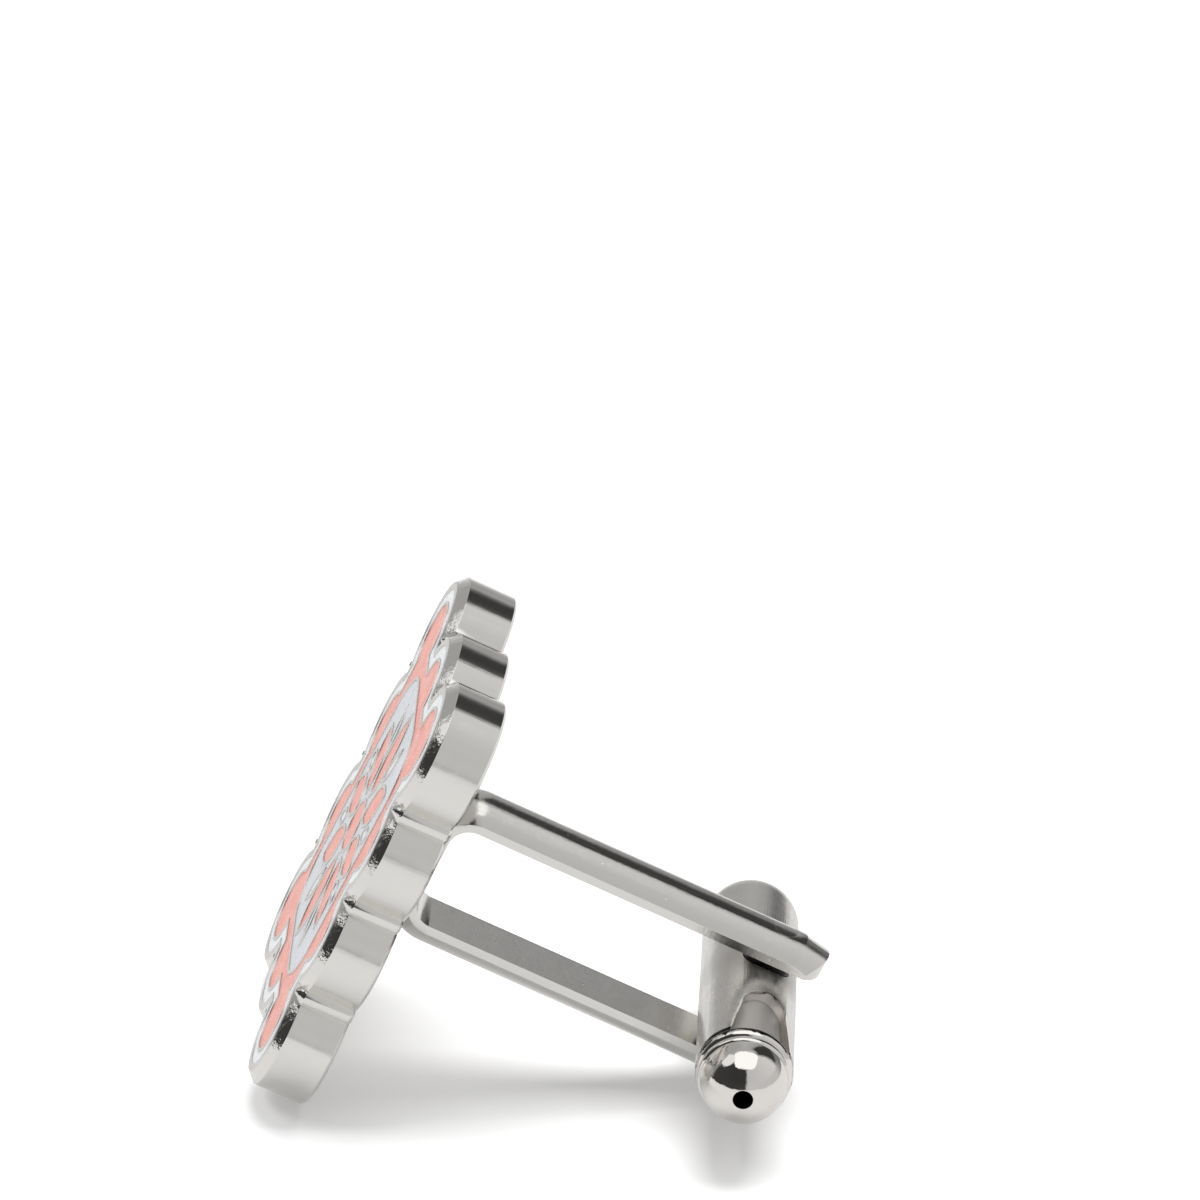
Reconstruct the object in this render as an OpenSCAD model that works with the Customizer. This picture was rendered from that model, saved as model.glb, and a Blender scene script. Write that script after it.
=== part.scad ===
// Swivel bar cufflink: a lobed enamelled face plate, a U shaped post of half round
// wire soldered to its back, and a hollow toggle that turns between the post's arms.
// The link is drawn lying as it rests on a table: the face leans back on two lobes
// of its lower edge and on the tip of the lower arm, and the toggle lies level.
// Lengths are in millimetres.

/* [Face plate] */
// Length of the plate, along the line that joins the two arms
plate_len = 21.6; // [20:0.2:23]
// Width of the plate, along the toggle
plate_w = 17.4; // [16:0.1:18.2]
// Thickness of the plate
plate_t = 2.85; // [2.2:0.05:4]
// How far the plate's middle lies from the post, towards the toggle's domed end
plate_side = 1.9; // [0:0.1:2.5]
// How far the plate's middle lies under the post
plate_drop = 1.1; // [0:0.1:1.5]
// Number of lobes along each long side, corners included
side_lobes = 4; // [4:1:5]
// Radius of each lobe
lobe_r = 3.2; // [3.1:0.1:3.6]
// How far the middle lobe of each short side stands back from the corner lobes
mid_step = 0.25; // [0.1:0.05:0.6]
// Radius of the small bead in each notch between two lobes
bead_r = 0.55; // [0.3:0.05:0.7]
// Bevel along the front edge
front_bevel = 0.45; // [0.2:0.05:0.6]
// Bevel along the back edge
back_bevel = 0.15; // [0.05:0.05:0.3]

/* [Enamel cells] */
// Bare metal between the front bevel and the border cell
rim_w = 0.35; // [0.2:0.05:0.6]
// Width of the border cell
border_w = 0.6; // [0.4:0.05:0.8]
// Width of the band inside it, where the band is narrowest
band_w = 0.75; // [0.5:0.05:1]
// Thickness of the metal walls between cells
wall_w = 0.16; // [0.1:0.02:0.2]
// Depth of the cells
cell_depth = 0.5; // [0.3:0.05:0.9]
// How far the fired enamel lies under the top of its walls
enamel_drop = 0.04; // [0.02:0.01:0.1]
// Radius of the field's corners
field_r = 2.6; // [1.5:0.1:3.5]
// Number of petals in the rosette
petal_count = 8; // [6:2:8]
// Greatest width of a petal
petal_w = 1.7; // [1.2:0.1:1.8]
// Distance from the centre of the rosette to where each petal starts
petal_start = 1.75; // [1.7:0.05:2]
// Space between a petal's tip and the edge of the field
petal_margin = 0.45; // [0.4:0.05:0.9]
// Greatest width of the small dart between two petals
dart_w = 0.6; // [0.4:0.05:0.8]
// Distance from the centre of the rosette to where each dart starts
dart_start = 3.6; // [3.5:0.1:3.8]
// Radius of the round cell at the centre
centre_r = 1.2; // [0.8:0.05:1.3]

/* [Post] */
// From the back of the plate to the toggle's pivot
post_len = 16.5; // [14:0.25:20]
// Clear space between the two arms
arm_gap = 5.16; // [5.1:0.02:6]
// Width of the half round wire
wire_w = 2.9; // [2.5:0.05:3.2]
// Thickness of the wire at its crown
wire_t = 1.35; // [1.2:0.05:1.5]
// Height of the wire's straight sides, under the crown
wire_side = 0.55; // [0.3:0.05:0.65]
// Bevel on the wire's two inner edges
wire_bevel = 0.1; // [0.04:0.02:0.2]
// Radius of the bend inside each corner of the U
bend_r = 1; // [0.8:0.05:1.4]
// From the pivot to the end of each arm
tip_len = 2.35; // [1.8:0.05:3]
// Radius of the arm's rounded end, seen from above
tip_r = 1.75; // [1.6:0.05:2.2]
// Thickness of the arm at its end, where its crown slopes down
tip_t = 1.1; // [0.9:0.05:1.15]
// Length of the slope at the end of each arm
tip_slope_len = 1.25; // [0.8:0.05:1.6]

/* [Foot] */
// Radius of the round pocket that the post's foot stands in
pocket_r = 3.15; // [3.05:0.05:3.6]
// Depth of the pocket
pocket_depth = 0.3; // [0.2:0.05:0.5]
// How much of the wire's crown is ground flat at the foot
foot_flat = 0.2; // [0.1:0.02:0.3]
// Height of the solder over the pocket's floor
solder_h = 0.7; // [0.5:0.05:0.9]
// Radius of the solder where it ends against the wire
solder_top_r = 1.75; // [1.5:0.05:2.2]

/* [Pivot] */
// Radius of the pivot pin
pin_r = 0.6; // [0.4:0.05:0.7]
// Radius of the cam's round ends, which carry the toggle
cam_r = 1.125; // [1:0.025:1.15]
// Distance across the cam's four flats
cam_flat = 1.6; // [1.5:0.05:1.7]
// Length of the square part of the cam
cam_len = 2.4; // [2.2:0.1:2.6]
// Running clearance of the toggle on the cam, on the radius
run_gap = 0.03; // [0.02:0.005:0.06]

/* [Toggle] */
// Outer radius of the toggle's tube
tube_r = 2.2; // [2.1:0.02:2.4]
// Thickness of the tube's wall
tube_wall = 0.5; // [0.35:0.05:0.6]
// From the pivot to the centre of the tube's domed end
dome_len = 6.9; // [6:0.1:8]
// From the pivot to the tube's open end
open_len = 6.95; // [6.4:0.05:8]
// Width of the notch in each side of the tube, across its rounded end
notch_w = 2.1; // [1.6:0.1:2.4]
// Width of each notch at the tube's open end
notch_open_w = 2.9; // [2.4:0.1:3.1]
// From the pivot to the rounded end of each notch
notch_start = 3.45; // [2.8:0.05:3.8]

/* [End cap] */
// Radius of the first bead's round section
bead1_round = 0.36; // [0.24:0.02:0.38]
// Radius of the second bead's round section
bead2_round = 0.25; // [0.16:0.01:0.28]
// How far the two beads run into each other, so that a crease parts them
bead_overlap = 0.04; // [0.02:0.01:0.08]
// Outer radius of the second bead
bead2_r = 2.1; // [2:0.02:2.1]
// Radius of the cap's mirror dome
cap_dome_r = 1.98; // [1.85:0.01:2]
// Wall of the cap's hollow shank
shank_wall = 0.6; // [0.4:0.05:0.8]
// Radius of the vent hole in the tip
vent_r = 0.46; // [0.3:0.02:0.6]
// Depth of the vent hole, from the tip to the hollow
vent_len = 1.6; // [1.2:0.1:2]
// From the pivot to the inner end of the shank, which the tube covers
shank_start = 2.35; // [2.3:0.05:2.7]

/* [Click spring] */
// Thickness of the spring's strip
strip_t = 0.2; // [0.12:0.02:0.24]
// Width of the strip
strip_w = 2; // [1.4:0.1:2]
// Clearance between each leg and the cam's flat at rest
strip_gap = 0.01; // [0.005:0.005:0.03]
// From the pivot to the free ends of the legs
leg_len = 2.1; // [1.8:0.1:2.2]
// Clearance between the spring's bend and the tube's domed end
strip_seat = 0.1; // [0.05:0.05:0.3]

/* [Hidden] */
$fn = 64;

// One overrun serves every cut
cut = 1;

// Lobe centres: the corner lobes, the ones between them and the notches' depth
lobe_x = plate_w / 2 - lobe_r;
lobe_y = plate_len / 2 - lobe_r;
lobe_pitch = 2 * lobe_y / (side_lobes - 1);
side_notch = sqrt(pow(lobe_r, 2) - pow(lobe_pitch / 2, 2));
end_notch = sqrt(pow(lobe_r, 2) - pow(lobe_x / 2, 2)) - mid_step;

// Insets of the nested outlines, from the plate's edge
border_out = front_bevel + rim_w;
border_in = border_out + border_w;
band_out = border_in + wall_w;

// Half lengths of the field, and of the ellipse that the petals' tips follow
field_x = lobe_x + side_notch - band_out - band_w - wall_w;
field_y = lobe_y + end_notch - band_out - band_w - wall_w;
reach_x = field_x - petal_margin;
reach_y = field_y - petal_margin;

// The wire's crown is an arc over its two straight sides
arm_in = arm_gap / 2;
arm_out = arm_in + wire_t;
crown_r = (pow(wire_w / 2, 2) + pow(wire_t - wire_side, 2)) / (2 * (wire_t - wire_side));
tip_slope = atan((wire_t - tip_t) / tip_slope_len);
tip_flat_x = tip_len - tip_r + sqrt(pow(tip_r, 2) - pow(wire_w / 2, 2));

// The foot: its pocket's floor and the base's inner side
foot_x = -(post_len + pocket_depth);
base_x = foot_x - foot_flat + wire_t;
bend_z = arm_in - bend_r;

// The toggle: bores, beads and the cap's places along its axis
bore_r = tube_r - tube_wall;
bead1_z = open_len + bead1_round;
bead2_z = bead1_z + bead1_round + bead2_round - bead_overlap;
cap_core_r = tube_r - bead1_round;
cap_dome_z = bead2_z + bead2_round / 2;
cap_tip = cap_dome_z + cap_dome_r;
notch_round_z = notch_start + notch_w / 2;
leg_x = cam_flat / 2 + strip_gap;
bend_out = leg_x + strip_t;
dome_room = sqrt(pow(bore_r, 2) - pow(strip_w / 2, 2));
bend_end = dome_len + dome_room - strip_seat;

// Rest pose: the plate's back edge and the end of the lower arm touch the table
heel = [-(post_len + back_bevel), -plate_drop - plate_len / 2];
toe = [tip_len, -(arm_in + tip_t)];
tilt = atan((toe[1] - heel[1]) / (toe[0] - heel[0]));
lift = -toe[1] * cos(tilt) + toe[0] * sin(tilt);
low_x = -(post_len + plate_t) * cos(tilt) + (heel[1] + front_bevel) * sin(tilt);
high_x = tip_len * cos(tilt) + (arm_in + tip_t) * sin(tilt);
shift_x = -(low_x + high_x) / 2;
shift_y = (cap_tip - max(dome_len + tube_r, plate_side + plate_w / 2)) / 2;

// Stands the link on the table, with its outline centred on the origin
module rest_pose() {
    translate([shift_x, shift_y, lift])
        rotate([0, tilt, 0])
            children();
}

// Plate outlines are drawn flat, with z running from the front face to the back
module on_plate() {
    rest_pose()
        translate([-(post_len + plate_t), plate_side, -plate_drop])
            rotate([90, 0, 90])
                children();
}

// Toggle pieces are turned about z, which runs towards the capped end
module on_toggle() {
    rest_pose()
        rotate([90, 0, 0])
            children();
}

// Puts its children at every lobe's centre
module at_lobes() {
    for (side = [-1, 1]) {
        for (i = [0 : side_lobes - 1])
            translate([side * lobe_x, i * lobe_pitch - lobe_y])
                children();
        translate([0, side * (lobe_y - mid_step)])
            children();
    }
}

// Puts its children at every notch between two lobes
module at_notches() {
    for (side = [-1, 1]) {
        for (i = [0 : side_lobes - 2])
            translate([side * (lobe_x + side_notch), (i + 0.5) * lobe_pitch - lobe_y])
                children();
        for (end = [-1, 1])
            translate([side * lobe_x / 2, end * (lobe_y + end_notch)])
                children();
    }
}

// The body of the plate inside its lobes, as deep as the notches
module core_outline(inset) {
    core_x = lobe_x + side_notch - inset;
    core_y = lobe_y + end_notch - inset;
    square(2 * [core_x, min(lobe_y, core_y)], center = true);
    square(2 * [min(lobe_x, core_x), core_y], center = true);
}

// The plate's outline, drawn in by an inset
module outline(inset) {
    core_outline(inset);
    at_lobes()
        circle(r = lobe_r - inset);
    if (inset < bead_r)
        at_notches()
            circle(r = bead_r - inset);
}

// A layer of the plate whose edge slopes from one inset to the other
module sloped_layer(z, h, inset_low, inset_high) {
    translate([0, 0, z]) {
        linear_extrude(h)
            core_outline(max(inset_low, inset_high));
        at_lobes()
            cylinder(h = h, r1 = lobe_r - inset_low, r2 = lobe_r - inset_high);
        at_notches()
            cylinder(h = h, r1 = bead_r - inset_low, r2 = bead_r - inset_high);
    }
}

// A pointed leaf from x = 0, made by two arcs, and grown on every side by a wall
module leaf(len, w, grow = 0) {
    arc_r = (pow(len / 2, 2) + pow(w / 2, 2)) / w;
    intersection_for (side = [-1, 1])
        translate([len / 2, side * (arc_r - w / 2)])
            circle(r = arc_r + grow);
}

// How far the rosette reaches in a direction
function reach(angle) = 1 / sqrt(pow(cos(angle) / reach_x, 2) + pow(sin(angle) / reach_y, 2));

module petals(grow = 0) {
    for (i = [0 : petal_count - 1]) {
        angle = i * 360 / petal_count;
        rotate(angle)
            translate([petal_start, 0])
                leaf(reach(angle) - petal_start, petal_w, grow);
    }
}

module darts(grow = 0) {
    for (i = [0 : petal_count - 1]) {
        angle = (i + 0.5) * 360 / petal_count;
        rotate(angle)
            translate([dart_start, 0])
                leaf(reach(angle) - dart_start, dart_w, grow);
    }
}

module border_cell() {
    difference() {
        outline(border_out);
        outline(border_in);
    }
}

// The field's round cornered outline, grown on every side by a wall
module field_outline(grow = 0) {
    square(2 * [field_x + grow, field_y - field_r], center = true);
    square(2 * [field_x - field_r, field_y + grow], center = true);
    for (x = [-1, 1], y = [-1, 1])
        translate([x * (field_x - field_r), y * (field_y - field_r)])
            circle(r = field_r + grow);
}

module band_cell() {
    difference() {
        outline(band_out);
        field_outline(wall_w);
    }
}

module field_cell() {
    difference() {
        field_outline();
        petals(wall_w);
        darts(wall_w);
        circle(r = centre_r + wall_w);
    }
}

// Struck plate: bevelled front rim, enamel cells and the pocket for the post's foot
module face_plate() {
    color("Silver")
        on_plate()
            difference() {
                union() {
                    sloped_layer(0, front_bevel, front_bevel, 0);
                    translate([0, 0, front_bevel])
                        linear_extrude(plate_t - front_bevel - back_bevel)
                            outline(0);
                    sloped_layer(plate_t - back_bevel, back_bevel, 0, back_bevel);
                }
                translate([0, 0, -cut])
                    linear_extrude(cut + cell_depth) {
                        border_cell();
                        band_cell();
                        field_cell();
                        petals();
                        darts();
                        circle(r = centre_r);
                    }
                translate([-plate_side, plate_drop, plate_t - pocket_depth])
                    cylinder(h = pocket_depth + cut, r = pocket_r);
            }
}

// Fired enamel fills its cell to just under the walls
module fired() {
    on_plate()
        translate([0, 0, enamel_drop])
            linear_extrude(cell_depth - enamel_drop)
                children();
}

module border_enamel() {
    color("GhostWhite")
        fired()
            border_cell();
}

module band_enamel() {
    color("Salmon")
        fired()
            band_cell();
}

module field_enamel() {
    color("Gainsboro")
        fired()
            field_cell();
}

module petal_enamel() {
    color("Salmon")
        fired()
            petals();
}

module dart_enamel() {
    color("White")
        fired()
            darts();
}

module centre_enamel() {
    color("LightSalmon")
        fired()
            circle(r = centre_r);
}

// The wire's section: flat inside, straight sides, rounded crown outside
module wire_section() {
    intersection() {
        polygon([
            [-wire_w / 2 + wire_bevel, 0],
            [wire_w / 2 - wire_bevel, 0],
            [wire_w / 2, wire_bevel],
            [wire_w / 2, wire_t],
            [-wire_w / 2, wire_t],
            [-wire_w / 2, wire_bevel]
        ]);
        translate([0, wire_t - crown_r])
            circle(r = crown_r);
    }
}

// The upper half of the U, from the middle of its base to the arm's straight end
module half_frame() {
    translate([base_x, 0, 0])
        linear_extrude(bend_z)
            rotate(90)
                wire_section();
    translate([base_x + bend_r, 0, bend_z])
        rotate([90, 0, 0])
            rotate(90)
                rotate_extrude(angle = 90)
                    translate([bend_r, 0])
                        rotate(-90)
                            wire_section();
    translate([base_x + bend_r, 0, arm_in])
        rotate([90, 0, 90])
            linear_extrude(tip_len - base_x - bend_r)
                wire_section();
}

// What the rounded ends leave of the arms, seen from above
module tip_outline() {
    translate([foot_x - cut, -wire_w])
        square([tip_flat_x - foot_x + cut, 2 * wire_w]);
    translate([tip_len - tip_r, 0])
        circle(r = tip_r);
}

// Bent U of half round wire, with sloped and rounded tips and a foot ground flat
module post_frame() {
    color("Silver")
        rest_pose()
            difference() {
                for (side = [0, 1])
                    mirror([0, 0, side])
                        difference() {
                            intersection() {
                                half_frame();
                                linear_extrude(arm_out + cut)
                                    tip_outline();
                            }
                            translate([tip_len - tip_slope_len, 0, arm_out])
                                rotate([0, tip_slope, 0])
                                    translate([0, -wire_w, 0])
                                        cube([2 * tip_slope_len, 2 * wire_w, wire_t]);
                            translate([foot_x - wire_t, -wire_w, -cut])
                                cube([wire_t, 2 * wire_w, arm_out + cut]);
                        }
                cylinder(h = 2 * (arm_out + cut), r = pin_r, center = true);
            }
}

// Solder that fills the pocket round the foot and climbs the wire
module solder_seam() {
    color("LightGray")
        rest_pose()
            difference() {
                translate([foot_x, 0, 0])
                    rotate([0, 90, 0])
                        cylinder(h = solder_h, r1 = pocket_r, r2 = solder_top_r);
                translate([base_x, 0, -arm_out])
                    linear_extrude(2 * arm_out)
                        rotate(90)
                            wire_section();
            }
}

// Riveted pin, its ends dressed flush with the crown of each arm
module pivot_pin() {
    color("Gray")
        rest_pose() {
            cylinder(h = 2 * (arm_in + wire_side), r = pin_r, center = true);
            for (side = [0, 1])
                mirror([0, 0, side])
                    intersection() {
                        cylinder(h = arm_out, r = pin_r);
                        translate([-wire_w, 0, arm_out - crown_r])
                            rotate([0, 90, 0])
                                cylinder(h = 2 * wire_w, r = crown_r);
                    }
        }
}

// Cam between the arms: round ends that the toggle turns on, four flats for the spring
module cam_post() {
    color("DarkGray")
        rest_pose()
            difference() {
                union() {
                    for (side = [0, 1])
                        mirror([0, 0, side])
                            translate([0, 0, cam_len / 2])
                                cylinder(h = arm_in - cam_len / 2, r = cam_r);
                    intersection() {
                        cylinder(h = cam_len, r = cam_r, center = true);
                        cube([cam_flat, cam_flat, cam_len], center = true);
                    }
                }
                cylinder(h = 2 * (arm_in + cut), r = pin_r, center = true);
            }
}

// Drawn tube with one domed end, two pivot holes and two round ended notches
module toggle_barrel() {
    color("LightSteelBlue")
        on_toggle()
            difference() {
                union() {
                    translate([0, 0, -dome_len])
                        cylinder(h = dome_len + open_len, r = tube_r);
                    translate([0, 0, -dome_len])
                        sphere(r = tube_r);
                }
                translate([0, 0, -dome_len])
                    cylinder(h = dome_len + open_len + cut, r = bore_r);
                translate([0, 0, -dome_len])
                    sphere(r = bore_r);
                rotate([90, 0, 0])
                    cylinder(h = 2 * (tube_r + cut), r = cam_r + run_gap, center = true);
                translate([0, 0, notch_round_z])
                    rotate([90, 0, 0])
                        cylinder(h = 2 * (tube_r + cut), r = notch_w / 2, center = true);
                rotate([90, 0, 0])
                    linear_extrude(2 * (tube_r + cut), center = true)
                        polygon([
                            [-notch_w / 2, notch_round_z],
                            [notch_w / 2, notch_round_z],
                            [notch_open_w / 2, open_len],
                            [notch_open_w / 2, open_len + cut],
                            [-notch_open_w / 2, open_len + cut],
                            [-notch_open_w / 2, open_len]
                        ]);
            }
}

// One round bead of the cap, by its outer radius and the radius of its section
module bead(z, outer, round) {
    translate([0, 0, z])
        rotate_extrude()
            translate([outer - round, 0])
                circle(r = round);
}

// Turned cap: hollow shank in the tube, two beads, mirror dome and vent hole
module end_cap() {
    color("Silver")
        on_toggle()
            difference() {
                union() {
                    translate([0, 0, shank_start])
                        cylinder(h = cap_dome_z - shank_start, r = bore_r);
                    translate([0, 0, open_len])
                        cylinder(h = cap_dome_z - open_len, r = cap_core_r);
                    bead(bead1_z, tube_r, bead1_round);
                    bead(bead2_z, bead2_r, bead2_round);
                    intersection() {
                        translate([0, 0, cap_dome_z])
                            sphere(r = cap_dome_r);
                        translate([0, 0, bead2_z])
                            cylinder(h = cap_dome_r + bead2_r, r = bead2_r);
                    }
                }
                translate([0, 0, shank_start - cut])
                    cylinder(h = cap_tip - vent_len - shank_start + cut, r = bore_r - shank_wall);
                translate([0, 0, shank_start])
                    cylinder(h = cap_tip - shank_start + cut, r = vent_r);
            }
}

// Hairpin spring: two legs that clasp the cam's flats, bent in the tube's domed end
module click_spring() {
    color("DimGray")
        on_toggle() {
            for (side = [0, 1])
                mirror([side, 0, 0])
                    translate([leg_x, -strip_w / 2, bend_out - bend_end])
                        cube([strip_t, strip_w, leg_len + bend_end - bend_out]);
            translate([0, 0, bend_out - bend_end])
                rotate([90, 0, 0])
                    difference() {
                        cylinder(h = strip_w, r = bend_out, center = true);
                        cylinder(h = strip_w + cut, r = leg_x, center = true);
                        translate([-bend_out - cut, 0, -strip_w])
                            cube([2 * (bend_out + cut), bend_out + cut, 2 * strip_w]);
                    }
        }
}

face_plate();
border_enamel();
band_enamel();
field_enamel();
petal_enamel();
dart_enamel();
centre_enamel();
post_frame();
solder_seam();
pivot_pin();
cam_post();
toggle_barrel();
end_cap();
click_spring();
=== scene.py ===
import math

import bmesh
import bpy
from mathutils import Matrix, Vector


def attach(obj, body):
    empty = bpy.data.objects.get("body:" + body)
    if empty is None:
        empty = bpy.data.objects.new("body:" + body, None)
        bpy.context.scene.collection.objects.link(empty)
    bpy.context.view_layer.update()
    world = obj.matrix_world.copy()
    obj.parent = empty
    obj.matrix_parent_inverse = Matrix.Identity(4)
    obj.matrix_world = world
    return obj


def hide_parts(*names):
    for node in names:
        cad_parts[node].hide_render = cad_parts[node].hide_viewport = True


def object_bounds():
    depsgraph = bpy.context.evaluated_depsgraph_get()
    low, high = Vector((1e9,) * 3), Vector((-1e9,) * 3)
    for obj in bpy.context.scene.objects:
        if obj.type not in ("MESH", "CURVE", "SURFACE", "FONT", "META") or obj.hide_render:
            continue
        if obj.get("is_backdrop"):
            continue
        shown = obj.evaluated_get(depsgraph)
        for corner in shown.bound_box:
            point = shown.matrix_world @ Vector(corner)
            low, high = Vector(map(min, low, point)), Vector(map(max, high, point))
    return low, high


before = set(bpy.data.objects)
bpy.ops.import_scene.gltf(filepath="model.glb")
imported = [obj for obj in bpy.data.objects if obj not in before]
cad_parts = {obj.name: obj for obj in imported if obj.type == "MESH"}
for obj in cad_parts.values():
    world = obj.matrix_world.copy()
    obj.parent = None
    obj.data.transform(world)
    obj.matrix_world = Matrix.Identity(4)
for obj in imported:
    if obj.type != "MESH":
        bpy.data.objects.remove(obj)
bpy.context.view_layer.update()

bpy.ops.object.select_all(action="DESELECT")

# The camera stands low in front of the toggle's capped end, a long lens well back,
# and is rolled a little, as the photograph of this link is.
camera_place = Vector((0.007676, -0.399727, 0.211581))
camera_aim = Vector((0.001728, 0.007454, 0.020092))
camera_roll = math.radians(2.653)
camera = bpy.data.objects.new("camera", bpy.data.cameras.new("camera"))
bpy.context.scene.collection.objects.link(camera)
camera.data.lens = 298.05
camera.data.sensor_width = 36
camera.data.clip_start, camera.data.clip_end = 0.01, 20
camera.matrix_world = (
    Matrix.Translation(camera_place)
    @ (camera_aim - camera_place).to_track_quat("-Z", "Y").to_matrix().to_4x4()
    @ Matrix.Rotation(camera_roll, 4, "Z"))
bpy.context.scene.camera = camera

# Face plate: struck brass under rhodium plating, one piece with the rim and the thin
# walls of its cells. Taken from the CAD node, merged, with its edges polished round.
MM = 0.001
MERGE = 0.0001 * MM

# Sizes are in the link's own frame, and its place then leans it as it lies on the table:
# x along the post towards the arm tips, y along the toggle, with the pivot at zero.
pivot, lean = Vector((9.343817, -0.3075, 4.310572)) * MM, math.radians(23.394833)
link_place = Matrix.Translation(pivot) @ Matrix.Rotation(lean, 4, "Y")
to_link = link_place.inverted()
front, bevel_end = -19.35 * MM, -18.9 * MM


def linear(hex_colour):
    """A linear colour from an sRGB hex value."""
    parts = [int(hex_colour[i:i + 2], 16) / 255 for i in (1, 3, 5)]
    return [c / 12.92 if c <= 0.04045 else ((c + 0.055) / 1.055) ** 2.4 for c in parts] + [1]


def add(tree, kind, settings=None, **links):
    """A node of that kind. A setting names a property or a socket, or numbers the socket where
    two share a name. An output given as its value is linked, as is a node, by its first output."""
    node = tree.nodes.new("ShaderNode" + kind)
    for key, value in {**(settings or {}), **links}.items():
        if isinstance(value, bpy.types.Node):
            value = value.outputs[0]
        if isinstance(value, bpy.types.NodeSocket):
            tree.links.new(value, node.inputs[key])
        elif isinstance(key, int) or key in node.inputs:
            node.inputs[key].default_value = value
        else:
            setattr(node, key, value)
    return node


def blank(name):
    """A new material with an empty node tree."""
    material = bpy.data.materials.new(name)
    material.use_nodes = True
    material.node_tree.nodes.clear()
    return material, material.node_tree


def paint(piece, material):
    """The piece takes that one material."""
    piece.data.materials.clear()
    piece.data.materials.append(material)


def dress(piece, material, slot, body, *nodes):
    """The piece takes its material, rides its body and stands for its CAD nodes. Its slot is not
    used.
    """
    paint(piece, material)
    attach(piece, body)
    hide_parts(*nodes)


def polish(piece, width, limit, fine_from=None, fine_share=1):
    """Rounds the piece's sharp edges by that width, less in front of fine_from, and evens its
    shading. An edge is sharp where it turns by more than limit degrees."""
    bpy.ops.object.select_all(action="DESELECT")
    bpy.context.view_layer.objects.active = piece
    piece.select_set(True)
    weights = piece.data.attributes.new("bevel_weight_edge", "FLOAT", "EDGE")
    shape = bmesh.new()
    shape.from_mesh(piece.data)
    for edge, weight in zip(shape.edges, weights.data):
        if len(edge.link_faces) == 2 and edge.calc_face_angle() > math.radians(limit):
            reach = max((to_link @ vertex.co).x for vertex in edge.verts)
            weight.value = fine_share if fine_from is not None and reach < fine_from else 1
    shape.free()
    soft = piece.modifiers.new("polished_edges", "BEVEL")
    soft.width, soft.segments, soft.limit_method = width, 3, "WEIGHT"
    bpy.ops.object.modifier_apply(modifier=soft.name)
    bpy.ops.object.shade_smooth_by_angle(angle=math.radians(limit))
    flats = piece.modifiers.new("flats", "WEIGHTED_NORMAL")
    flats.keep_sharp = True
    bpy.ops.object.modifier_apply(modifier=flats.name)


plate = bpy.data.objects.new("struck_plate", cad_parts["face_plate"].data.copy())
bpy.context.scene.collection.objects.link(plate)
bpy.context.view_layer.objects.active = plate
plate.select_set(True)
bpy.ops.object.mode_set(mode="EDIT")
bpy.ops.mesh.select_all(action="SELECT")
bpy.ops.mesh.customdata_custom_splitnormals_clear()
bpy.ops.mesh.remove_doubles(threshold=MERGE)
bpy.ops.mesh.dissolve_limited(angle_limit=math.radians(0.5))
bpy.ops.object.mode_set(mode="OBJECT")
polish(plate, width=0.06 * MM, limit=30, fine_from=front + 0.01 * MM, fine_share=0.2)

# Rhodium over brass. The front was stoned down with the enamel, the edge round it is
# buffed to a mirror whose small dents break up the dark room, and the walls keep a
# satin grain across their thickness from the trim die.
grain_size, wave_size, dent_size, grain_stretch = 0.4 * MM, 1.7 * MM, 0.34 * MM, 20
own_frame = {"vector_type": "TEXTURE", "Location": link_place.to_translation(),
             "Rotation": link_place.to_euler()}
plate_plating, tree = blank("rhodium_over_struck_brass")
place = add(tree, "TexCoord").outputs["Object"]
in_link = add(tree, "Mapping", own_frame, Vector=place)
depth = add(tree, "SeparateXYZ", Vector=in_link).outputs["X"]
wall = add(tree, "MapRange", {"From Min": bevel_end - 0.03 * MM,
                              "From Max": bevel_end + 0.03 * MM}, Value=depth)
flat = add(tree, "MapRange", {"From Min": front + 0.08 * MM,
                              "From Max": front + 0.02 * MM}, Value=depth)
along = add(tree, "Mapping", {"Scale": (1 / grain_stretch, 1, 1)}, Vector=in_link)
grain = add(tree, "TexNoise", {"Scale": 1 / grain_size, "Detail": 4, "Roughness": 0.6},
            Vector=along)
wave = add(tree, "TexNoise", {"Scale": 1 / wave_size, "Detail": 2}, Vector=place)
dents = add(tree, "TexNoise", {"Scale": 1 / dent_size, "Detail": 3, "Roughness": 0.6},
            Vector=place)
satin = add(tree, "MapRange", {"From Min": 0.3, "From Max": 0.7, "To Min": 0.1, "To Max": 0.17},
            Value=grain)
mirror = add(tree, "MapRange", {"From Min": 0.35, "From Max": 0.7, "To Min": 0.04, "To Max": 0.1},
             Value=wave)
rough = add(tree, "Mix", Factor=wall, A=mirror, B=satin)
rough = add(tree, "Mix", {"B": 0.42}, Factor=flat, A=rough)
elsewhere = add(tree, "Math", {"operation": "ADD", 0: wall, 1: flat})
edge = add(tree, "Math", {"operation": "SUBTRACT", 0: 1, 1: elsewhere})
bent = add(tree, "Bump", {"Distance": 0.018 * MM}, Height=wave)
grained = add(tree, "Bump", {"Distance": 0.008 * MM}, Height=grain, Normal=bent, Strength=wall)
dented = add(tree, "Bump", {"Distance": 0.035 * MM}, Height=dents, Normal=grained, Strength=edge)
shine = add(tree, "BsdfPrincipled", {"Base Color": linear("#DFDDD9"), "Metallic": 1},
            Roughness=rough, Normal=dented)
add(tree, "OutputMaterial", Surface=shine)
dress(plate, plate_plating, "polished_plate", "root", "face_plate")

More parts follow.
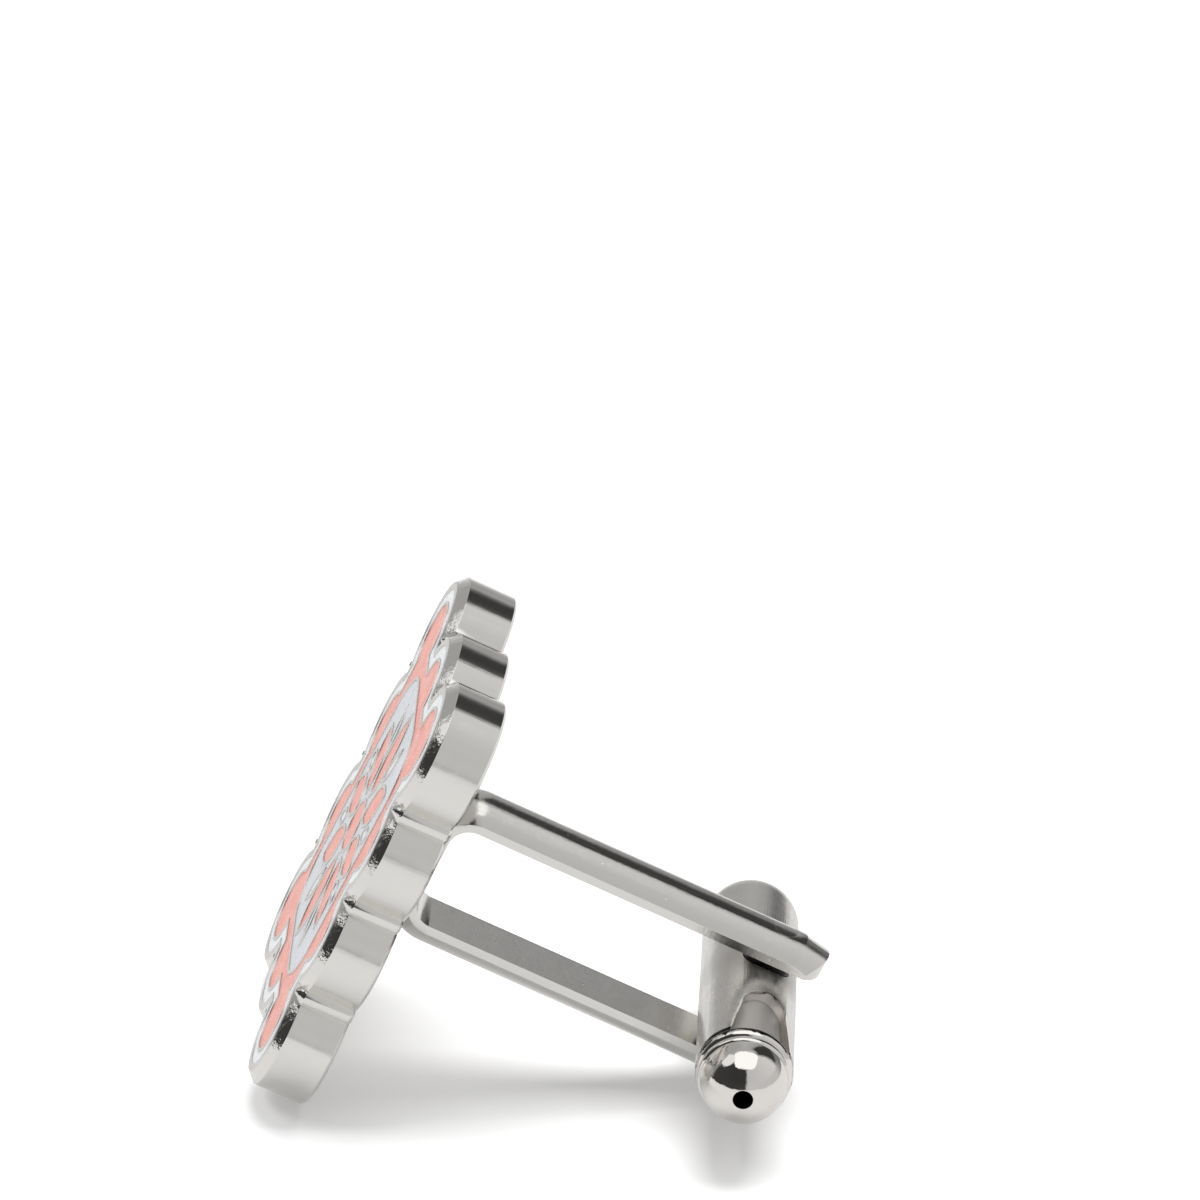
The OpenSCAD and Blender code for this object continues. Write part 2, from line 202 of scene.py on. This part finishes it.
# Enamel: ground glass fired into the cells and stoned down nearly flush with their
# walls. The surface keeps slow waves, a few pinholes and a slight cloudiness.
cloud_size, pinhole_gap = 0.8 * MM, 0.9 * MM
for enamel, tints, nodes in (
        ("white_enamel", ("#ECEFF2", "#E5E9ED"), ("border_enamel", "dart_enamel")),
        ("salmon_enamel", ("#F09482", "#EA8A77"),
         ("band_enamel", "petal_enamel", "centre_enamel")),
        ("grey_enamel", ("#D0D4D9", "#C8CDD3"), ("field_enamel",))):
    glass, tree = blank("fired_" + enamel)
    place = add(tree, "TexCoord").outputs["Object"]
    cloud = add(tree, "TexNoise", {"Scale": 1 / cloud_size, "Detail": 4, "Roughness": 0.65},
                Vector=place)
    tint = add(tree, "ValToRGB", Fac=cloud)
    for stop, at, shade in zip(tint.color_ramp.elements, (0.35, 0.65), tints):
        stop.position, stop.color = at, linear(shade)
    rough = add(tree, "MapRange", {"From Min": 0.3, "From Max": 0.7, "To Min": 0.22,
                                   "To Max": 0.34}, Value=cloud)
    pinholes = add(tree, "TexVoronoi", {"Scale": 1 / pinhole_gap}, Vector=place)
    hole = add(tree, "MapRange", {"interpolation_type": "SMOOTHSTEP", "From Min": 0.01,
                                  "From Max": 0.05}, Value=pinholes)
    bent = add(tree, "Bump", {"Distance": 0.003 * MM}, Height=cloud)
    pitted = add(tree, "Bump", {"Distance": 0.006 * MM}, Height=hole, Normal=bent)
    shine = add(tree, "BsdfPrincipled", {"Base Color": tint}, Roughness=rough, Normal=pitted)
    add(tree, "OutputMaterial", Surface=shine)
    for name in nodes:
        paint(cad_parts[name], glass)

# Post: half round wire bent to a U. Its section is a disc cut on three sides, drawn
# out along one arm, round both bends and back, with its tips sloped and rounded.
arm_in, wire_w, wire_t, wire_side = 2.58 * MM, 2.9 * MM, 1.35 * MM, 0.4 * MM
tip_len, tip_r, slope_len, slope = 2.35 * MM, 1.75 * MM, 1.25 * MM, math.radians(11.3)
tip_step = 0.05 * MM
foot_x, base_x, bend_r, pin_r = -16.8 * MM, -15.65 * MM, 1 * MM, 0.6 * MM
crown_r = ((wire_w / 2) ** 2 + (wire_t - wire_side) ** 2) / (2 * (wire_t - wire_side))
bend_x, bend_z = base_x + bend_r, arm_in - bend_r
crown_facets, tip_facets, hole_facets, bend_steps = 160, 96, 64, 24
# the tools that cut it reach well past its length, width and height
past_length, past_width, past_height = 30 * MM, 8 * MM, 12 * MM


def carve(piece, tool, operation="DIFFERENCE"):
    """Cuts the tool from the piece (or joins, or keeps what they share), and drops the tool."""
    carving = piece.modifiers.new("carving", "BOOLEAN")
    carving.operation, carving.solver, carving.object = operation, "EXACT", tool
    bpy.ops.object.select_all(action="DESELECT")
    bpy.context.view_layer.objects.active = piece
    piece.select_set(True)
    bpy.ops.object.modifier_apply(modifier=carving.name)
    bpy.data.objects.remove(tool, do_unlink=True)


bpy.ops.mesh.primitive_circle_add(
    vertices=crown_facets, radius=crown_r, fill_type="NGON",
    location=(tip_len, 0, arm_in + wire_t - crown_r), rotation=(0, math.pi / 2, 0))
post = bpy.context.object
post.name = "bent_post"
bpy.ops.object.transform_apply()
bpy.ops.object.mode_set(mode="EDIT")
for at, facing in (((0, wire_w / 2, 0), (0, 1, 0)),
                   ((0, -wire_w / 2, 0), (0, -1, 0)),
                   ((0, 0, arm_in), (0, 0, -1))):
    bpy.ops.mesh.select_all(action="SELECT")
    bpy.ops.mesh.bisect(plane_co=at, plane_no=facing, clear_outer=True, threshold=MERGE)
bpy.ops.mesh.select_all(action="SELECT")
for run, bend in (((bend_x - tip_len, 0, 0), (bend_x, 0, bend_z)),
                  ((0, 0, -2 * bend_z), (bend_x, 0, -bend_z)),
                  ((tip_len - bend_x, 0, 0), None)):
    bpy.ops.mesh.extrude_region_move(TRANSFORM_OT_translate={"value": run})
    if bend:
        bpy.ops.mesh.spin(steps=bend_steps, angle=math.pi / 2, center=bend, axis=(0, 1, 0))
bpy.ops.mesh.select_all(action="SELECT")
bpy.ops.mesh.remove_doubles(threshold=MERGE)
bpy.ops.mesh.normals_make_consistent(inside=False)
bpy.ops.mesh.bisect(plane_co=(foot_x, 0, 0), plane_no=(-1, 0, 0), clear_outer=True, use_fill=True,
                    threshold=MERGE)
bpy.ops.object.mode_set(mode="OBJECT")

# the tips: rounded as seen from above, then cut down by a small step and a crowned slope
flat_x = tip_len - tip_r + math.sqrt(tip_r ** 2 - (wire_w / 2) ** 2)
bpy.ops.mesh.primitive_cube_add(size=1, location=((flat_x - past_length) / 2, 0, 0),
                                scale=(flat_x + past_length, past_width, past_height))
keep = bpy.context.object
bpy.ops.mesh.primitive_cylinder_add(vertices=tip_facets, radius=tip_r, depth=past_height,
                                    location=(tip_len - tip_r, 0, 0))
carve(keep, bpy.context.object, "UNION")
carve(post, keep, "INTERSECT")
for side in (1, -1):
    bpy.ops.mesh.primitive_cube_add(size=1, location=(past_width / 4, 0, 0),
                                    scale=(past_width / 2, past_width, past_width / 2))
    slope_tool = bpy.context.object
    bpy.ops.object.transform_apply()
    bpy.ops.mesh.primitive_cylinder_add(vertices=crown_facets, radius=crown_r, depth=past_height,
                                        location=(0, 0, -crown_r * side),
                                        rotation=(0, math.pi / 2, 0))
    carve(slope_tool, bpy.context.object)
    slope_start = (tip_len - slope_len, 0, side * (arm_in + wire_t - tip_step))
    slope_tool.data.transform(Matrix.Translation(slope_start)
                              @ Matrix.Rotation(slope * side, 4, "Y"))
    carve(post, slope_tool)
bpy.ops.mesh.primitive_cylinder_add(vertices=hole_facets, radius=pin_r, depth=past_height)
carve(post, bpy.context.object)
polish(post, width=0.08 * MM, limit=35)
post.data.transform(link_place)

# Rhodium over brass wire, drawn and then buffed along its length, so its reflections
# are a little soft and carry fine streaks, with nicks from wear in the cuff.
streak_size, streak_stretch, wave_size, wear_size = 0.09 * MM, 20, 1.5 * MM, 0.14 * MM
nick_gap = 1.5 * MM
post_plating, tree = blank("rhodium_over_drawn_wire")
place = add(tree, "TexCoord").outputs["Object"]
in_link = add(tree, "Mapping", own_frame, Vector=place)
along = add(tree, "Mapping", {"Scale": (1 / streak_stretch, 1, 1)}, Vector=in_link)
streaks = add(tree, "TexNoise", {"Scale": 1 / streak_size, "Detail": 4, "Roughness": 0.6},
              Vector=along)
wave = add(tree, "TexNoise", {"Scale": 1 / wave_size, "Detail": 3, "Roughness": 0.6}, Vector=place)
wear = add(tree, "TexNoise", {"Scale": 1 / wear_size, "Detail": 2, "Roughness": 0.6}, Vector=place)
nicks = add(tree, "TexVoronoi", {"Scale": 1 / nick_gap}, Vector=place)
nick = add(tree, "MapRange", {"interpolation_type": "SMOOTHSTEP", "From Min": 0.015,
                              "From Max": 0.05}, Value=nicks)
rough = add(tree, "MapRange", {"From Min": 0.3, "From Max": 0.7, "To Min": 0.12, "To Max": 0.22},
            Value=streaks)
bent = add(tree, "Bump", {"Distance": 0.02 * MM}, Height=wave)
drawn = add(tree, "Bump", {"Distance": 0.003 * MM}, Height=streaks, Normal=bent)
worn = add(tree, "Bump", {"Distance": 0.003 * MM}, Height=wear, Normal=drawn)
nicked = add(tree, "Bump", {"Distance": 0.01 * MM}, Height=nick, Normal=worn)
shine = add(tree, "BsdfPrincipled", {"Base Color": linear("#DAD8D4"), "Metallic": 1},
            Roughness=rough, Normal=nicked)
add(tree, "OutputMaterial", Surface=shine)
dress(post, post_plating, "polished_post", "root", "post_frame")

# Toggle barrel: drawn tube with a domed end. Half a ball, its rim drawn out to the
# open end, given its wall, then pierced for the cam and notched at the open end.
tube_r, tube_wall, dome_len, open_len = 2.2 * MM, 0.5 * MM, 6.9 * MM, 6.95 * MM
notch_w, notch_open_w, notch_start, cam_hole_r = 2.1 * MM, 2.9 * MM, 3.45 * MM, 1.155 * MM
notch_low, notch_high = -open_len - 0.5 * MM, -notch_start - notch_w / 2
notch_taper = (notch_open_w - notch_w) / 2 / (notch_high + open_len)
past_tube, tube_facets = 8 * MM, 96
bpy.ops.mesh.primitive_uv_sphere_add(segments=tube_facets, ring_count=tube_facets // 2,
                                     radius=tube_r, location=(0, dome_len, 0),
                                     rotation=(math.pi / 2, 0, 0))
barrel = bpy.context.object
barrel.name = "drawn_barrel"
bpy.ops.object.transform_apply()
bpy.ops.object.mode_set(mode="EDIT")
bpy.ops.mesh.select_all(action="SELECT")
bpy.ops.mesh.bisect(plane_co=(0, dome_len, 0), plane_no=(0, -1, 0), clear_outer=True,
                    threshold=MERGE)
bpy.ops.mesh.select_all(action="DESELECT")
bpy.ops.mesh.select_mode(type="EDGE")
bpy.ops.mesh.select_non_manifold()
bpy.ops.mesh.extrude_region_move(TRANSFORM_OT_translate={"value": (0, -dome_len - open_len, 0)})
bpy.ops.mesh.select_mode(type="VERT")
bpy.ops.object.mode_set(mode="OBJECT")
wall = barrel.modifiers.new("wall", "SOLIDIFY")
wall.thickness, wall.offset, wall.use_even_offset = tube_wall, -1, True
bpy.ops.object.modifier_apply(modifier=wall.name)
for y, radius in ((0, cam_hole_r), (notch_high, notch_w / 2)):
    bpy.ops.mesh.primitive_cylinder_add(vertices=tube_facets, radius=radius, depth=past_tube,
                                        location=(0, y, 0))
    carve(barrel, bpy.context.object)
bpy.ops.mesh.primitive_cube_add(size=1, location=(0, (notch_low + notch_high) / 2, 0),
                                scale=(notch_w, notch_high - notch_low, past_tube))
notch = bpy.context.object
bpy.ops.object.transform_apply()
flare = 1 + notch_taper * (notch_high - notch_low) / (notch_w / 2)
for vertex in notch.data.vertices:
    if vertex.co.y < (notch_low + notch_high) / 2:
        vertex.co.x *= flare
carve(barrel, notch)
polish(barrel, width=0.1 * MM, limit=40)
barrel.data.transform(link_place)

# Rhodium over tumbled tube: satin, so it takes soft grey light, with faint marks
# along the tube from the draw bench, and duller round the hub, where the arms rub it.
streak_size, streak_stretch, wave_size = 0.2 * MM, 12.5, 1.6 * MM
barrel_plating, tree = blank("rhodium_over_tumbled_tube")
place = add(tree, "TexCoord").outputs["Object"]
along = add(tree, "Mapping", {"Scale": (1, 1 / streak_stretch, 1)}, Vector=place)
streaks = add(tree, "TexNoise", {"Scale": 1 / streak_size, "Detail": 4, "Roughness": 0.6},
              Vector=along)
wave = add(tree, "TexNoise", {"Scale": 1 / wave_size, "Detail": 3, "Roughness": 0.55},
           Vector=place)
satin = add(tree, "MapRange", {"From Min": 0.3, "From Max": 0.7, "To Min": 0.22, "To Max": 0.34},
            Value=streaks)
in_link = add(tree, "Mapping", own_frame, Vector=place)
level = add(tree, "Mapping", {"Scale": (1, 1, 0)}, Vector=in_link)
off_axis = add(tree, "VectorMath", {"operation": "LENGTH"}, Vector=level).outputs["Value"]
rubbed = add(tree, "MapRange", {"From Min": 1.5 * MM, "From Max": 2.7 * MM, "To Min": 0.22,
                                "To Max": 0}, Value=off_axis)
rough = add(tree, "Math", {"operation": "ADD", 0: satin, 1: rubbed})

# The notch's edge was burnished bright when it was cut: how far a point is from its
# outline, which is a half circle and two sides that part towards the open end.
spot = add(tree, "SeparateXYZ", Vector=in_link)
past = add(tree, "Math", {"operation": "SUBTRACT", 0: spot.outputs["Y"], 1: notch_high})
beyond = add(tree, "Math", {"operation": "MAXIMUM", 0: past, 1: 0})
before = add(tree, "Math", {"operation": "MINIMUM", 0: past, 1: 0})
half = add(tree, "Math", {"operation": "ABSOLUTE", 0: spot.outputs["X"]})
aside = add(tree, "Math", {"operation": "MULTIPLY_ADD", 0: before, 1: notch_taper, 2: half})
corner = add(tree, "CombineXYZ", X=aside, Y=beyond)
reach = add(tree, "VectorMath", {"operation": "LENGTH"}, Vector=corner).outputs["Value"]
past_edge = add(tree, "Math", {"operation": "SUBTRACT", 0: reach, 1: notch_w / 2})
off_edge = add(tree, "Math", {"operation": "ABSOLUTE", 0: past_edge})
burnished = add(tree, "MapRange", {"From Min": 0.06 * MM, "From Max": 0.16 * MM, "To Min": 0.3,
                                   "To Max": 1}, Value=off_edge)
rough = add(tree, "Math", {"operation": "MULTIPLY", 0: rough, 1: burnished})
bent = add(tree, "Bump", {"Distance": 0.035 * MM}, Height=wave)
drawn = add(tree, "Bump", {"Distance": 0.002 * MM}, Height=streaks, Normal=bent)
shine = add(tree, "BsdfPrincipled", {"Base Color": linear("#D8D5D1"), "Metallic": 1},
            Roughness=rough, Normal=drawn)
add(tree, "OutputMaterial", Surface=shine)
dress(barrel, barrel_plating, "polished_toggle", "toggle", "toggle_barrel")

# End cap: turned, with a hollow shank in the tube, two beads, a mirror dome and a
# vent hole. Each part is a turned form, and they are joined to one solid.
bore_r, shank_start, shank_hole_r = 1.7 * MM, 2.35 * MM, 1.1 * MM
bead1_y, bead1_r, bead2_y, bead2_r = -7.31 * MM, 0.36 * MM, -7.88 * MM, 0.25 * MM
dome_y, cap_dome_r, vent_r, vent_end = -8.005 * MM, 1.98 * MM, 0.46 * MM, -8.385 * MM
bead2_out, lap, fit_gap, past_tip = 2.1 * MM, 0.1 * MM, 0.01 * MM, 12 * MM
cap_facets, bead_facets = 128, 32
across_toggle = (math.pi / 2, 0, 0)
bpy.ops.mesh.primitive_uv_sphere_add(segments=cap_facets, ring_count=cap_facets // 2,
                                     radius=cap_dome_r, location=(0, dome_y, 0),
                                     rotation=across_toggle)
cap = bpy.context.object
cap.name = "turned_cap"
bpy.ops.object.transform_apply()
bpy.ops.object.mode_set(mode="EDIT")
bpy.ops.mesh.select_all(action="SELECT")
bpy.ops.mesh.bisect(plane_co=(0, bead2_y, 0), plane_no=(0, 1, 0), clear_outer=True, use_fill=True,
                    threshold=MERGE)
bpy.ops.object.mode_set(mode="OBJECT")
for y, ring_r, round_r in ((bead2_y, bead2_out - bead2_r, bead2_r),
                           (bead1_y, tube_r - bead1_r, bead1_r)):
    bpy.ops.mesh.primitive_torus_add(major_segments=cap_facets, minor_segments=bead_facets,
                                     major_radius=ring_r, minor_radius=round_r,
                                     location=(0, y, 0), rotation=across_toggle)
    carve(cap, bpy.context.object, "UNION")
for low, high, radius, facets, operation in (
        (dome_y, -open_len, tube_r - bead1_r, cap_facets, "UNION"),
        (-open_len - lap, -shank_start, bore_r - fit_gap, cap_facets, "UNION"),
        (vent_end, 0, shank_hole_r, hole_facets, "DIFFERENCE"),
        (-past_tip, -shank_start, vent_r, hole_facets, "DIFFERENCE")):
    bpy.ops.mesh.primitive_cylinder_add(vertices=facets, radius=radius, depth=high - low,
                                        location=(0, (low + high) / 2, 0), rotation=across_toggle)
    carve(cap, bpy.context.object, operation)
bpy.ops.object.shade_smooth_by_angle(angle=math.radians(35))
cap.data.transform(link_place)

# Rhodium over a turned and buffed cap: a true mirror, with only a trace of orange peel.
# A broken dark line of painted shade lies in the corner behind the first bead, and the
# shank behind it was never buffed. These places are in the row's own y.
wave_size, shade_edge_size, shade_edge_reach = 0.8 * MM, 0.45 * MM, 0.5 * MM
painted_shade_from, painted_shade_to, painted_shade_fade = -7.72 * MM, -7.26 * MM, 0.02 * MM
dull_from, dull_to = -7.45 * MM, -7.25 * MM
# a Mix node's colour sockets share their names with its number sockets
COLOUR_A, COLOUR_B, COLOUR_OUT = 6, 7, 2
cap_plating, tree = blank("rhodium_mirror_cap")
place = add(tree, "TexCoord").outputs["Object"]
wave = add(tree, "TexNoise", {"Scale": 1 / wave_size, "Detail": 5, "Roughness": 0.6}, Vector=place)
mirror = add(tree, "MapRange", {"From Min": 0.35, "From Max": 0.7, "To Min": 0.02, "To Max": 0.08},
             Value=wave)
along = add(tree, "SeparateXYZ", Vector=place).outputs["Y"]
dull = add(tree, "MapRange", {"From Min": dull_from, "From Max": dull_to, "To Min": 0,
                              "To Max": 0.55}, Value=along)
rough = add(tree, "Math", {"operation": "ADD", 0: mirror, 1: dull})
shade_edge_noise = add(tree, "TexNoise", {"Scale": 1 / shade_edge_size, "Detail": 3, "Roughness": 0.6},
             Vector=place)
shift = add(tree, "Math", {"operation": "MULTIPLY_ADD", 0: shade_edge_noise, 1: shade_edge_reach,
                           2: -shade_edge_reach / 2})
ragged = add(tree, "Math", {"operation": "ADD", 0: shift, 1: along})
# painted shade: the colour turns near black between these two places, with a ragged near edge
begun = add(tree, "MapRange", {"From Min": painted_shade_from - painted_shade_fade,
                               "From Max": painted_shade_from + painted_shade_fade}, Value=ragged)
ended = add(tree, "MapRange", {"From Min": painted_shade_to + painted_shade_fade,
                               "From Max": painted_shade_to - painted_shade_fade}, Value=along)
painted_shade = add(tree, "Math", {"operation": "MULTIPLY", 0: begun, 1: ended})
tone = add(tree, "Mix", {"data_type": "RGBA", COLOUR_A: linear("#E0DDD9"),
                         COLOUR_B: linear("#2B2927")}, Factor=painted_shade)
bent = add(tree, "Bump", {"Distance": 0.012 * MM}, Height=wave)
shine = add(tree, "BsdfPrincipled", {"Base Color": tone.outputs[COLOUR_OUT], "Metallic": 1},
            Roughness=rough, Normal=bent)
add(tree, "OutputMaterial", Surface=shine)
dress(cap, cap_plating, "polished_cap", "toggle", "end_cap")

# Solder and pin: a soft satin fillet round the foot, and the pin's two ends, which are
# dressed flush with the arms and plated with them.
lump_size = 0.5 * MM
solder_plating, tree = blank("satin_plated_solder")
place = add(tree, "TexCoord").outputs["Object"]
lumps = add(tree, "TexNoise", {"Scale": 1 / lump_size, "Detail": 3}, Vector=place)
rough = add(tree, "MapRange", {"From Min": 0.3, "From Max": 0.7, "To Min": 0.28, "To Max": 0.45},
            Value=lumps)
bent = add(tree, "Bump", {"Distance": 0.03 * MM}, Height=lumps)
shine = add(tree, "BsdfPrincipled", {"Base Color": linear("#CFCCC8"), "Metallic": 1},
            Roughness=rough, Normal=bent)
add(tree, "OutputMaterial", Surface=shine)
paint(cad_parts["solder_seam"], solder_plating)
paint(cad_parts["pivot_pin"], post_plating)

# Cam and click spring: hardened steel, dark from the oil bath, with fine turning marks. Only the
# cam's round end shows, in the gap under the arm, and its near black is also painted shade there.
mark_size = 0.15 * MM
dark_steel_and_gap_shade, tree = blank("oil_blackened_steel_and_gap_shade")
place = add(tree, "TexCoord").outputs["Object"]
marks = add(tree, "TexNoise", {"Scale": 1 / mark_size, "Detail": 3}, Vector=place)
rough = add(tree, "MapRange", {"From Min": 0.3, "From Max": 0.7, "To Min": 0.3, "To Max": 0.45},
            Value=marks)
# near black: the steel's own dark, and painted shade for the gap under the arm
shine = add(tree, "BsdfPrincipled", {"Base Color": linear("#1F1E1D"), "Metallic": 1},
            Roughness=rough)
add(tree, "OutputMaterial", Surface=shine)
paint(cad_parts["cam_post"], dark_steel_and_gap_shade)
paint(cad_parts["click_spring"], dark_steel_and_gap_shade)

# The table: a white sweep, which keeps the link's soft shadow. The plating and the soft
# light see it as a greyer card, which partly glows by itself and so hides the shadow.
bpy.ops.mesh.primitive_plane_add(size=6, location=(0, 0, 0))
table = bpy.context.object
table.name = "table"
table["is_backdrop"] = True
table_paint, tree = blank("white_table")
rays = add(tree, "LightPath")
seen = []
for paint_grey, own_light in ((0.44, 0.33), (0.98, 0.15)):
    paint_layer = add(tree, "BsdfDiffuse", {"Color": (paint_grey,) * 3 + (1,)})
    glow = add(tree, "Emission", {"Color": (1, 1, 1, 1), "Strength": own_light})
    seen.append(add(tree, "AddShader", {0: paint_layer, 1: glow}))
card, sweep = seen
both = add(tree, "MixShader", {0: rays.outputs["Is Camera Ray"], 1: card, 2: sweep})
add(tree, "OutputMaterial", Surface=both)
paint(table, table_paint)

# One softbox over the table gives the soft shadow, a small one on the left lights the
# face. What the plating mirrors of them is drawn in the room below, so the lamps
# themselves are left out of reflections. Each is turned to look at the link.
softbox_right, softbox_back, softbox_up, softbox_away = 0.12, 0.26, 0.9, 0.94
softbox = bpy.data.objects.new("softbox", bpy.data.lights.new("softbox", "AREA"))
bpy.context.scene.collection.objects.link(softbox)
softbox.location = (softbox_right, softbox_back, softbox_up)
softbox.rotation_euler = (-math.atan2(softbox_back, softbox_up),
                          math.atan2(softbox_right, softbox_away), 0)
softbox.data.shape, softbox.data.size, softbox.data.size_y = "RECTANGLE", 0.7, 0.6
softbox.data.energy = 9
softbox.visible_glossy = False
side_box_left, side_box_up = 0.61, 0.79
side_box = bpy.data.objects.new("side_box", bpy.data.lights.new("side_box", "AREA"))
bpy.context.scene.collection.objects.link(side_box)
side_box.location = (-side_box_left, 0, side_box_up)
side_box.rotation_euler = (0, -math.atan2(side_box_left, side_box_up), 0)
side_box.data.size, side_box.data.energy = 0.35, 2
side_box.visible_glossy = False

# The room: white for the camera and even for soft light. The plating mirrors more of
# it: a white softbox overhead and a small one on the left, a pale wall on the right,
# a dark side where the camera stands, and a grey back with one dark stand.
world = bpy.data.worlds.new("studio")
bpy.context.scene.world = world
world.use_nodes = True
tree = world.node_tree
tree.nodes.clear()
rays = add(tree, "LightPath")
ray = add(tree, "TexCoord").outputs["Generated"]
toward = add(tree, "SeparateXYZ", Vector=ray)

# the walls, low and high: how light they are at each azimuth, from +Y towards +X
low_stops = ((-180, 0.05), (-92, 0.05), (-84, 0.38), (-60, 0.48), (-25, 0.45), (-12, 0.6),
             (12, 0.5), (20, 0.24), (32, 0.18), (50, 0.28), (75, 0.65), (160, 0.68), (170, 0.66),
             (176, 0.06), (180, 0.05))
high_stops = ((-180, 0.04), (-92, 0.05), (-84, 0.35), (-60, 0.45), (-20, 0.44), (0, 0.54),
              (21, 0.44), (29, 0.05), (58, 0.05), (68, 0.8), (120, 0.7), (150, 0.66), (168, 0.64),
              (174, 0.04), (180, 0.04))
turn = add(tree, "Math", {"operation": "ARCTAN2", 0: toward.outputs["X"], 1: toward.outputs["Y"]})
share = add(tree, "MapRange", {"From Min": -math.pi, "From Max": math.pi}, Value=turn)
walls = []
for stops in (low_stops, high_stops):
    walls.append(add(tree, "ValToRGB", Fac=share))
    ramp = walls[-1].color_ramp
    for at, (azimuth, grey) in ((0, stops[0]), (1, stops[-1])):
        ramp.elements[at].position = (azimuth + 180) / 360
        ramp.elements[at].color = (grey, grey, grey, 1)
    for azimuth, grey in stops[1:-1]:
        ramp.elements.new((azimuth + 180) / 360).color = (grey, grey, grey, 1)
rise = add(tree, "MapRange", {"interpolation_type": "SMOOTHSTEP", "From Min": 0.21,
                              "From Max": 0.37}, Value=toward.outputs["Z"])
room = add(tree, "Mix", {"data_type": "RGBA", COLOUR_A: walls[0], COLOUR_B: walls[1]}, Factor=rise)

# the big softbox, as it would be on a ceiling one metre up: a square with round corners
box_x, box_y, half_x, half_y, roundness = 0.05, -0.19, 0.5, 0.48, 4
powers = []
for axis, middle, half in (("X", box_x, half_x), ("Y", box_y, half_y)):
    spread = add(tree, "Math", {"operation": "DIVIDE", 0: toward.outputs[axis],
                                1: toward.outputs["Z"]})
    from_middle = add(tree, "Math", {"operation": "MULTIPLY_ADD", 0: spread, 1: 1 / half,
                                     2: -middle / half})
    off_middle = add(tree, "Math", {"operation": "ABSOLUTE", 0: from_middle})
    powers.append(add(tree, "Math", {"operation": "POWER", 0: off_middle, 1: roundness}))
rim = add(tree, "Math", {"operation": "ADD", 0: powers[0], 1: powers[1]})
inside = add(tree, "MapRange", {"interpolation_type": "SMOOTHSTEP", "From Min": 1.2,
                                "From Max": 0.9}, Value=rim)
above = add(tree, "Math", {"operation": "GREATER_THAN", 0: toward.outputs["Z"], 1: 0.2})
big_box = add(tree, "Math", {"operation": "MULTIPLY", 0: inside, 1: above})

# the small one, a round patch, and the plain ceiling
near = add(tree, "VectorMath", {"operation": "DOT_PRODUCT", 0: ray, 1: (-0.609, -0.01, 0.792)})
small_box = add(tree, "MapRange", {"interpolation_type": "SMOOTHSTEP", "From Min": 0.955,
                                   "From Max": 0.97}, Value=near.outputs["Value"])
ceiling = add(tree, "MapRange", {"interpolation_type": "SMOOTHSTEP", "From Min": 0.84,
                                 "From Max": 0.9}, Value=toward.outputs["Z"])
for mask, grey in ((ceiling, 0.5), (big_box, 1.3), (small_box, 1)):
    room = add(tree, "Mix", {"data_type": "RGBA", COLOUR_A: room.outputs[COLOUR_OUT],
                             COLOUR_B: (grey, grey, grey, 1)}, Factor=mask)
gloss = add(tree, "Background", {"Strength": 1}, Color=room.outputs[COLOUR_OUT])
plain = add(tree, "Background", {"Color": (1, 1, 1, 1), "Strength": 0.4})
white = add(tree, "Background", {"Color": (1, 1, 1, 1), "Strength": 1})
mirrored = add(tree, "MixShader", {0: rays.outputs["Is Glossy Ray"], 1: plain, 2: gloss})
whole = add(tree, "MixShader", {0: rays.outputs["Is Camera Ray"], 1: mirrored, 2: white})
add(tree, "OutputWorld", Surface=whole)

bpy.context.scene.view_settings.view_transform = "Standard"

low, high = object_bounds()
